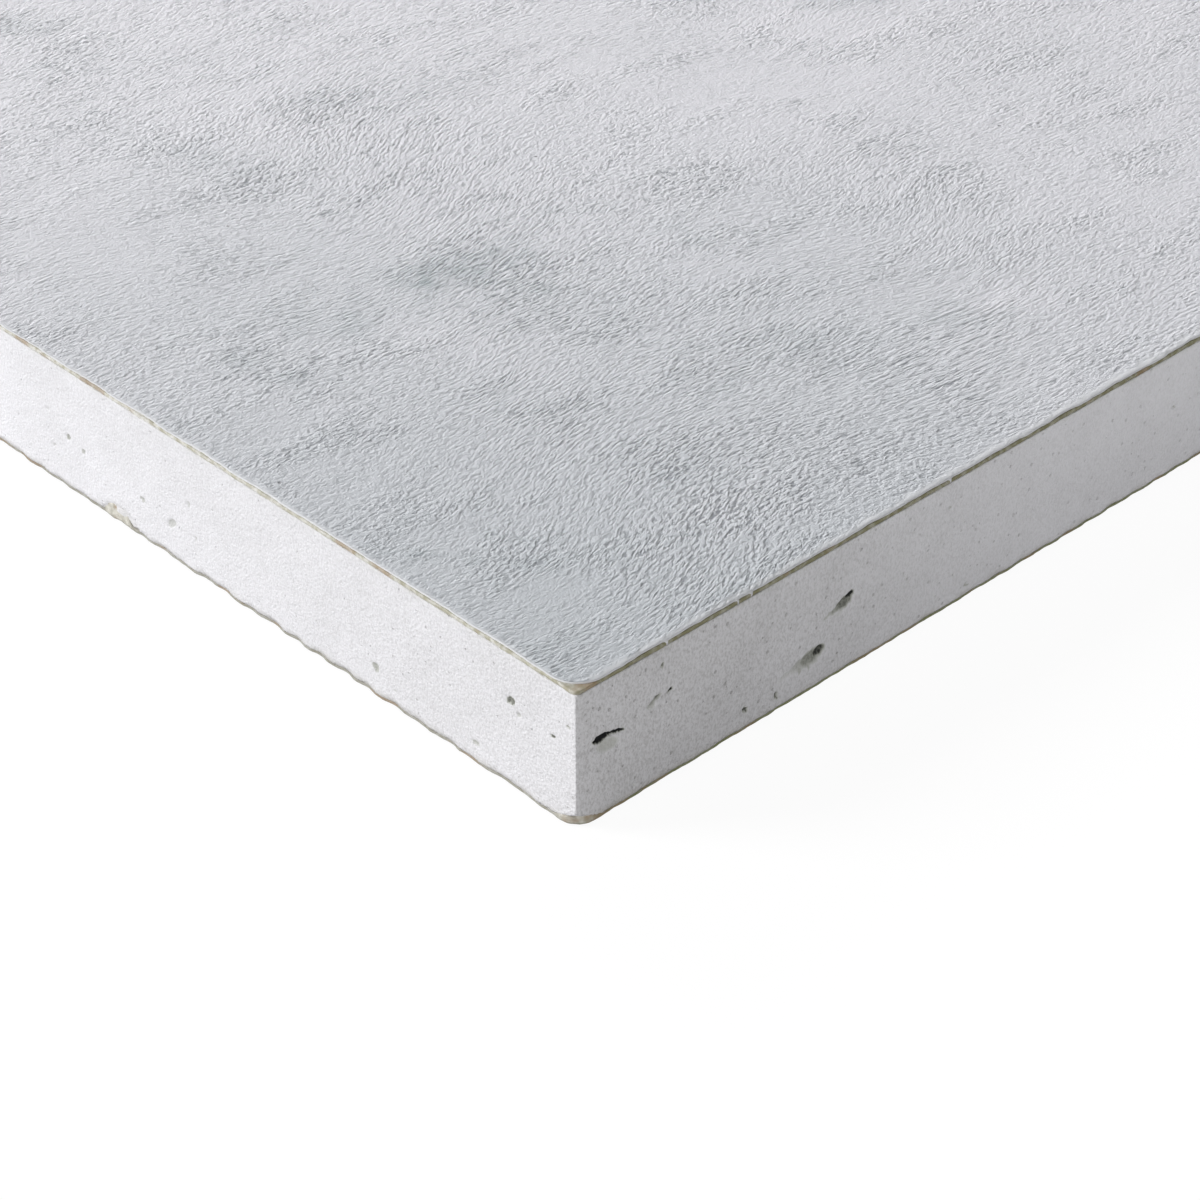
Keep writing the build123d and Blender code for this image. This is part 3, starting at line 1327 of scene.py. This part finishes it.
    def place(self) -> bpy.types.NodeSocket:
        """Give the object's own coordinates in millimetres."""
        where = self.add("ShaderNodeTexCoord").outputs["Object"]
        return self.vector("SCALE", where, 1.0 / MM)

    def value_of(self, name: str, word: str = "Fac") -> bpy.types.NodeSocket:
        """Read one of the mesh's named values."""
        return self.add("ShaderNodeAttribute", attribute_name=name).outputs[word]

    def use(self, group: bpy.types.NodeTree, **values: object) -> bpy.types.NodeSocket:
        """Place a group, feed its inputs and give the number it puts out."""
        node = self.add("ShaderNodeGroup", node_tree=group)
        for label, value in values.items():
            self.feed(node.inputs[label], value)
        return node.outputs[0]


@dataclass(frozen=True)
class Effects:
    """The node groups that more than one finish uses."""

    mottle: bpy.types.NodeTree
    pits: bpy.types.NodeTree
    fibres: bpy.types.NodeTree
    grain: bpy.types.NodeTree

    @classmethod
    def make(cls) -> "Effects":
        """Build every shared group once."""
        return cls(cls.make_mottle(), cls.make_pits(), cls.make_fibres(), cls.make_grain())

    @staticmethod
    def make_mottle() -> bpy.types.NodeTree:
        """Broad uneven tone: noise at one pitch, mapped between two tones."""
        w = Wiring.group("broad mottle", "Tone", "Low", "High")
        cloud = w.noise(w.counted(), 3.0)
        w.give("Tone", w.span(cloud, 0.3, 0.7, w.given("Low"), w.given("High")))
        return w.tree

    @staticmethod
    def make_pits() -> bpy.types.NodeTree:
        """Small round pits: near the centres of some cells of a cell pattern."""
        w = Wiring.group("air pits", "Pit", "Size", "Amount")
        inverse = w.maths("DIVIDE", 1.0, w.given("Pitch"))
        cells = w.add("ShaderNodeTexVoronoi", feature="F1")
        w.feed(cells.inputs["Vector"], w.vector("SCALE", w.given("Place"), inverse))
        cells.inputs["Scale"].default_value = 1.0
        dice = w.add("ShaderNodeSeparateColor")
        w.feed(dice.inputs[0], cells.outputs["Color"])
        chosen = w.maths("LESS_THAN", dice.outputs[0], w.given("Amount"))
        own = w.times(w.given("Size"), w.maths("ADD", dice.outputs[1], 0.45))
        size = w.times(own, inverse)
        inside = w.span(
            w.maths("DIVIDE", cells.outputs["Distance"], size), 0.35, 0.75, 1.0, 0.0
        )
        w.give("Pit", w.times(inside, chosen))
        return w.tree

    @staticmethod
    def make_fibres() -> bpy.types.NodeTree:
        """Paper fibres: two stretched noises laid across each other."""
        w = Wiring.group("paper fibres", "Height")
        at = w.counted()
        one = w.noise(w.stretch(at, 20.0, (5.0, 1.0, 1.0)), 3.0)
        two = w.noise(w.stretch(at, -55.0, (5.0, 1.0, 1.0)), 3.0)
        w.give("Height", w.maths("MAXIMUM", one, two))
        return w.tree

    @staticmethod
    def make_grain() -> bpy.types.NodeTree:
        """Fine grain: noise of one pitch with one finer octave."""
        w = Wiring.group("fine grain", "Height")
        w.give("Height", w.noise(w.counted(), 1.0))
        return w.tree


Colour = tuple[float, float, float, float]


def shader(name: str, roughness: float, specular: float) -> tuple[Wiring, bpy.types.Node]:
    """Start a material.

    Args:
        name: the material's name.
        roughness: the surface's plain roughness.
        specular: the surface's plain specular level.

    Returns:
        The wiring and the Principled shader.
    """
    material = bpy.data.materials.new(name)
    material.use_nodes = True
    wiring = Wiring(material.node_tree)
    principled = material.node_tree.nodes["Principled BSDF"]
    principled.inputs["Roughness"].default_value = roughness
    principled.inputs["Specular IOR Level"].default_value = specular
    return wiring, principled


@dataclass(frozen=True)
class PlasterFinish:
    """Sawn white gypsum: fine grain; small air pits, dark voids and tan smears with painted
    shade.
    """

    effects: Effects
    white: Colour = (0.885, 0.88, 0.912, 1.0)
    fleck: Colour = (0.36, 0.35, 0.34, 1.0)
    # Near black of the voids' painted shade.
    hollow: Colour = (0.022, 0.023, 0.024, 1.0)
    mossy: Colour = (0.24, 0.25, 0.18, 1.0)
    # Tan smear colour, partly painted shade along the bottom edge.
    smear_and_shade: Colour = (0.52, 0.505, 0.45, 1.0)

    def material(self) -> bpy.types.Material:
        """Wire the plaster.

        White, darkened towards the near corner as painted shade, then fine flecks
        drawn out down the cut, small round pits darkened as painted shade, tan
        smears beside the papers, partly painted shade along the bottom edge, and
        the voids, painted shade that goes from a mossy grey at their rims to near
        black inside.
        """
        w, skin = shader("sawn_gypsum", 0.92, 0.2)
        place = w.place()
        # Painted shade: towards the near corner the plaster takes more flecks, a grey
        # darkening and darker pits.
        near_corner_shade = w.value_of("handled")
        tone = w.use(self.effects.mottle, Place=place, Pitch=6.0, Low=0.0, High=0.07)
        speckle = w.noise(w.stretch(place, 0.0, (0.19, 0.19, 0.27)), 2.0)
        fleck = w.span(speckle, 0.38, 0.72)
        much = w.span(near_corner_shade, 0.0, 2.0, 0.13, 0.3)
        pores = w.use(self.effects.pits, Place=place, Pitch=1.9, Size=0.34, Amount=0.4)
        dull = w.maths("ADD", w.times(fleck, much), tone)
        dull = w.maths("ADD", dull, w.times(near_corner_shade, 0.155))
        base = w.tint(dull, self.white, self.fleck)
        dots = w.use(self.effects.pits, Place=place, Pitch=0.9, Size=0.19, Amount=0.5)
        fine = w.maths("MAXIMUM", pores, dots)
        # Painted shade: the pits are darkened with the fleck grey, more towards the near
        # corner.
        pit_shade = w.times(fine, w.span(near_corner_shade, 0.0, 2.0, 0.28, 0.6))
        base = w.tint(pit_shade, base, self.fleck)
        # Tan smear, partly painted shade along the bottom edge.
        base = w.tint(w.times(w.value_of("stain"), 0.6), base, self.smear_and_shade)
        # Painted shade of the voids and hairlines: an olive-tinted grey at their rims, near
        # black inside.
        uneven = w.span(speckle, 0.35, 0.65, 0.94, 1.04)
        hollow = w.times(w.value_of("hollow"), uneven)
        base = w.tint(w.span(hollow, 0.0, 0.5), base, w.tint(
            w.span(hollow, 0.6, 1.0), w.tint(hollow, self.white, self.mossy), self.hollow
        ))
        w.feed(skin.inputs["Base Color"], base)
        grain = w.use(self.effects.grain, Place=place, Pitch=0.22)
        normal = w.bump(grain, 0.09)
        normal = w.bump(w.maths("SUBTRACT", 1.0, fine), 0.05, normal)
        w.feed(skin.inputs["Normal"], normal)
        return bpy.data.materials["sawn_gypsum"]


@dataclass(frozen=True)
class PaperFinish:
    """Liner paper: fibres, blotches, painted shade on the end cut and rusty spots."""

    effects: Effects
    name: str
    clean: Colour
    blotch: Colour
    shade_olive: Colour
    rust: Colour = (0.37, 0.26, 0.17, 1.0)
    cream: Colour = (0.74, 0.72, 0.65, 1.0)
    fibre: Colour = (0.2, 0.17, 0.11, 1.0)
    bare: bool = False

    def material(self) -> bpy.types.Material:
        """Wire the paper."""
        w, skin = shader(self.name, 0.88, 0.2)
        place = w.place()
        cloud = w.use(self.effects.mottle, Place=place, Pitch=0.65, Low=0.0, High=1.0)
        apart = w.vector("ADD", place, (41.0, 17.0, 5.0))
        spots = w.use(self.effects.mottle, Place=apart, Pitch=3.2, Low=0.0, High=1.0)
        base = w.tint(cloud, self.clean, self.blotch)
        # Painted shade on the end cut, and the face paper's darkening near the corner.
        grime = w.times(w.value_of("grime"), w.span(cloud, 0.0, 1.0, 0.7, 1.0))
        base = w.tint(grime, base, self.shade_olive)
        if self.bare:
            bare = w.times(w.value_of("bare"), w.span(cloud, 0.0, 1.0, 0.95, 0.35))
            base = w.tint(bare, base, self.cream)
        rusted = w.times(w.value_of("rusted"), w.span(cloud, 0.2, 0.8, 0.45, 1.0))
        rusted = w.maths("MAXIMUM", rusted, w.span(spots, 0.72, 0.95, 0.0, 0.6))
        base = w.tint(rusted, base, self.rust)
        fibre = w.use(self.effects.fibres, Place=place, Pitch=0.22)
        base = w.tint(w.span(fibre, 0.45, 0.8, 0.0, 0.2), base, self.fibre)
        w.feed(skin.inputs["Base Color"], base)
        w.feed(skin.inputs["Normal"], w.bump(fibre, 0.06))
        return bpy.data.materials[self.name]


@dataclass(frozen=True)
class FacingFinish:
    """Grey-white facing: brushed emboss in patches, fine peel, white rim."""

    effects: Effects
    field: Colour = (0.745, 0.737, 0.78, 1.0)
    smudge: Colour = (0.387, 0.428, 0.452, 1.0)
    chalk: Colour = (0.66, 0.67, 0.69, 1.0)
    furrow_shade: Colour = (0.27, 0.285, 0.31, 1.0)
    speck: Colour = (0.16, 0.16, 0.16, 1.0)
    rim: Colour = (0.76, 0.77, 0.79, 1.0)
    brush_turn: float = -90.0
    dash: tuple[float, float, float] = (0.58, 0.28, 1.0)
    streak: tuple[float, float, float] = (1.2, 0.27, 1.0)

    def material(self) -> bpy.types.Material:
        """Wire the facing.

        Short strokes are cut as deep as the mesh's emboss value says, with
        their furrows darkened as painted shade. A fine peel lies under them,
        and slow tones, smudges with painted shade towards the near corner,
        pinholes and the whitened rim colour them.
        """
        w, skin = shader("textured_facing", 0.6, 0.36)
        place = w.place()
        worn = w.value_of("worn")
        plain = w.maths("SUBTRACT", 1.0, worn)
        peel = w.use(self.effects.grain, Place=place, Pitch=0.2)
        marks = self.brush_marks(w, place, peel)
        cloud = w.use(self.effects.mottle, Place=place, Pitch=34.0, Low=0.0, High=1.0)
        depth = w.times(w.value_of("emboss"), w.maths("ADD", plain, 0.45))
        lift = w.times(w.span(marks, 0.3, 0.66), depth)
        pit = w.use(self.effects.pits, Place=place, Pitch=4.2, Size=0.24, Amount=0.5)
        # The smudge value darkens the top with stains and with painted shade towards the near
        # corner.
        smudge = w.value_of("smudge")
        dark = w.maths("ADD", w.times(cloud, 0.12), smudge, clamp=True)
        base = w.tint(dark, self.field, self.smudge)
        base = w.tint(w.times(smudge, -0.9, clamp=True), base, self.chalk)
        # Painted shade: the strokes' furrows are darkened.
        furrow_shade = w.times(w.span(marks, 0.28, 0.46, 0.85, 0.0), depth)
        base = w.tint(furrow_shade, base, self.furrow_shade)
        base = w.tint(w.times(pit, 0.7), base, self.speck)
        base = w.tint(w.times(worn, 0.75), base, self.rim)
        w.feed(skin.inputs["Base Color"], base)
        w.feed(skin.inputs["Roughness"], w.span(worn, 0.0, 1.0, 0.6, 0.75))
        grain = w.times(peel, w.span(worn, 0.0, 1.0, 1.0, 0.4))
        normal = w.bump(grain, 0.06)
        normal = w.bump(lift, 0.115, normal)
        normal = w.bump(w.maths("SUBTRACT", 1.0, pit), 0.06, normal)
        w.feed(skin.inputs["Normal"], normal)
        return bpy.data.materials["textured_facing"]

    def brush_marks(
        self, w: Wiring, place: bpy.types.NodeSocket, peel: bpy.types.NodeSocket
    ) -> bpy.types.NodeSocket:
        """Lay short brush strokes along one direction that drifts.

        The place is shifted by the mesh's own comb and a little by the
        peel, turned to the brush's direction, and divided by a stroke's
        length and width before it reaches a noise. The mesh's drawn value
        turns short dashes into long streaks.

        Args:
            w: the material's wiring.
            place: where the surface is, in millimetres.
            peel: the fine peel, 0 to 1.

        Returns:
            The strokes, 0 to 1.
        """
        combed = w.vector("ADD", place, w.value_of("comb", "Vector"))
        rough = w.vector("SCALE", (0.06, 0.05, 0.0), peel)
        combed = w.vector("ADD", combed, rough)
        dash = w.noise(w.stretch(combed, self.brush_turn, self.dash), 1.5)
        streak = w.noise(w.stretch(combed, self.brush_turn, self.streak), 1.5)
        change = w.maths("SUBTRACT", streak, dash)
        return w.maths("ADD", dash, w.times(w.value_of("drawn"), change))


# Studio


@dataclass(frozen=True)
class Studio:
    """The floor, the lamps, the world and the camera."""

    corner: tuple[float, float, float]
    floor_size: float = 60.0
    focal: float = 95.2
    camera_offset: tuple[float, float, float] = (0.12796, -0.11946, 0.13226)
    yaw: float = 46.426
    pitch: float = 35.409

    def build(self) -> None:
        """Set up everything that isn't part of the sheet."""
        self.add_floor()
        self.add_world()
        self.add_lamp("key", (-0.69, -0.72), 28.0, 3.05, 22.0)
        self.add_lamp("sheen", (-0.906, 0.423), 10.0, 2.2, 44.0)
        self.add_lamp("rake", (-0.375, 0.927), 12.0, 0.6, 30.0)
        self.add_lamp("fill", (0.94, -0.35), 20.0, 1.0, 24.0)
        self.add_camera()
        bpy.context.scene.view_settings.view_transform = "Standard"

    def add_floor(self) -> None:
        """Lay a pale floor that shows white and keeps a light shadow."""
        half = self.floor_size / 2.0
        mesh = bpy.data.meshes.new("studio_floor")
        z = -0.0002
        mesh.from_pydata(
            [(-half, -half, z), (half, -half, z), (half, half, z), (-half, half, z)],
            [], [(0, 1, 2, 3)],
        )
        material = bpy.data.materials.new("studio_floor")
        material.use_nodes = True
        w = Wiring(material.node_tree)
        w.tree.nodes.remove(w.tree.nodes["Principled BSDF"])
        diffuse = w.add("ShaderNodeBsdfDiffuse")
        diffuse.inputs["Color"].default_value = (0.62, 0.62, 0.62, 1.0)
        glow = w.add("ShaderNodeEmission")
        glow.inputs["Color"].default_value = (1.0, 1.0, 1.0, 1.0)
        glow.inputs["Strength"].default_value = 1.08
        path = w.add("ShaderNodeLightPath")
        seen = w.times(path.outputs["Is Camera Ray"], 0.87)
        mix = w.add("ShaderNodeMixShader")
        w.feed(mix.inputs[0], seen)
        w.feed(mix.inputs[1], diffuse.outputs[0])
        w.feed(mix.inputs[2], glow.outputs[0])
        w.feed(w.tree.nodes["Material Output"].inputs["Surface"], mix.outputs[0])
        mesh.materials.append(material)
        floor = bpy.data.objects.new("studio_floor", mesh)
        bpy.context.scene.collection.objects.link(floor)

    def add_world(self) -> None:
        """Fill softly from all round, and show white behind the floor."""
        world = bpy.data.worlds.new("studio")
        bpy.context.scene.world = world
        world.use_nodes = True
        w = Wiring(world.node_tree)
        path = w.add("ShaderNodeLightPath")
        level = w.times(path.outputs["Is Camera Ray"], 0.85)
        back = w.tree.nodes["Background"]
        back.inputs["Color"].default_value = (1.0, 1.0, 1.0, 1.0)
        w.feed(back.inputs["Strength"], w.maths("ADD", level, 0.15))

    def add_lamp(
        self, name: str, heading: tuple[float, float], height: float,
        strength: float, spread: float,
    ) -> None:
        """Add a distant lamp.

        Args:
            name: the lamp's name.
            heading: the level direction from the sheet to the lamp.
            height: the lamp's angle above the floor, in degrees.
            strength: its strength.
            spread: how wide it looks, in degrees.
        """
        lamp = bpy.data.lights.new(name, "SUN")
        lamp.energy = strength
        lamp.angle = math.radians(spread)
        holder = bpy.data.objects.new(name, lamp)
        level = Vector((*heading, 0.0)).normalized() * math.cos(math.radians(height))
        towards = level + Vector((0.0, 0.0, math.sin(math.radians(height))))
        holder.rotation_mode = "QUATERNION"
        holder.rotation_quaternion = towards.to_track_quat("Z", "Y")
        holder.location = towards * 3.0
        bpy.context.scene.collection.objects.link(holder)

    def add_camera(self) -> None:
        """Look down on the near corner from close by."""
        data = bpy.data.cameras.new("view_of_corner")
        data.lens = self.focal
        data.sensor_width = 36.0
        data.clip_start = 0.01
        data.clip_end = 200.0
        camera = bpy.data.objects.new("view_of_corner", data)
        yaw, pitch = math.radians(self.yaw), math.radians(self.pitch)
        ahead = Vector((
            -math.sin(yaw) * math.cos(pitch),
            math.cos(yaw) * math.cos(pitch),
            -math.sin(pitch),
        ))
        right = Vector((math.cos(yaw), math.sin(yaw), 0.0))
        up = right.cross(ahead)
        turn = Matrix((right, up, -ahead)).transposed()
        camera.rotation_mode = "QUATERNION"
        camera.rotation_quaternion = turn.to_quaternion()
        camera.location = Vector(self.corner) + Vector(self.camera_offset)
        bpy.context.scene.collection.objects.link(camera)
        bpy.context.scene.camera = camera


def main() -> None:
    """Build the sheet's layers from the core out, then the studio."""
    logging.basicConfig(level=logging.INFO)
    core, face = Plate.of("gypsum_core"), Plate.of("face_paper")
    facing, back = Plate.of("textured_facing"), Plate.of("back_paper")
    knock, flap, ragged, effects = Knock(), Flap(), Ragged(), Effects.make()
    # Each paper's third colour is its painted shade on the short edge.
    tan = PaperFinish(
        effects, "face_paper_tan", (0.81, 0.80, 0.77, 1.0), (0.50, 0.48, 0.38, 1.0),
        (0.26, 0.25, 0.15, 1.0),
    )
    grey = PaperFinish(
        effects, "back_paper_grey", (0.46, 0.45, 0.41, 1.0), (0.36, 0.345, 0.29, 1.0),
        (0.27, 0.285, 0.15, 1.0), bare=True,
    )
    pieces = [
        Core(core, facing.high, knock, flap, ragged).build(PlasterFinish(effects).material()),
        FacePaper(face).build(tan.material()),
        Facing(facing, face).build(FacingFinish(effects).material()),
        BackPaper(back, core.low, knock, flap, ragged).build(grey.material()),
    ]
    for piece in pieces:
        log.info("%s: %d faces", piece.name, len(piece.data.polygons))
    Studio((core.right * MM, core.front * MM, facing.high * MM)).build()


if __name__ == "__main__":
    main()
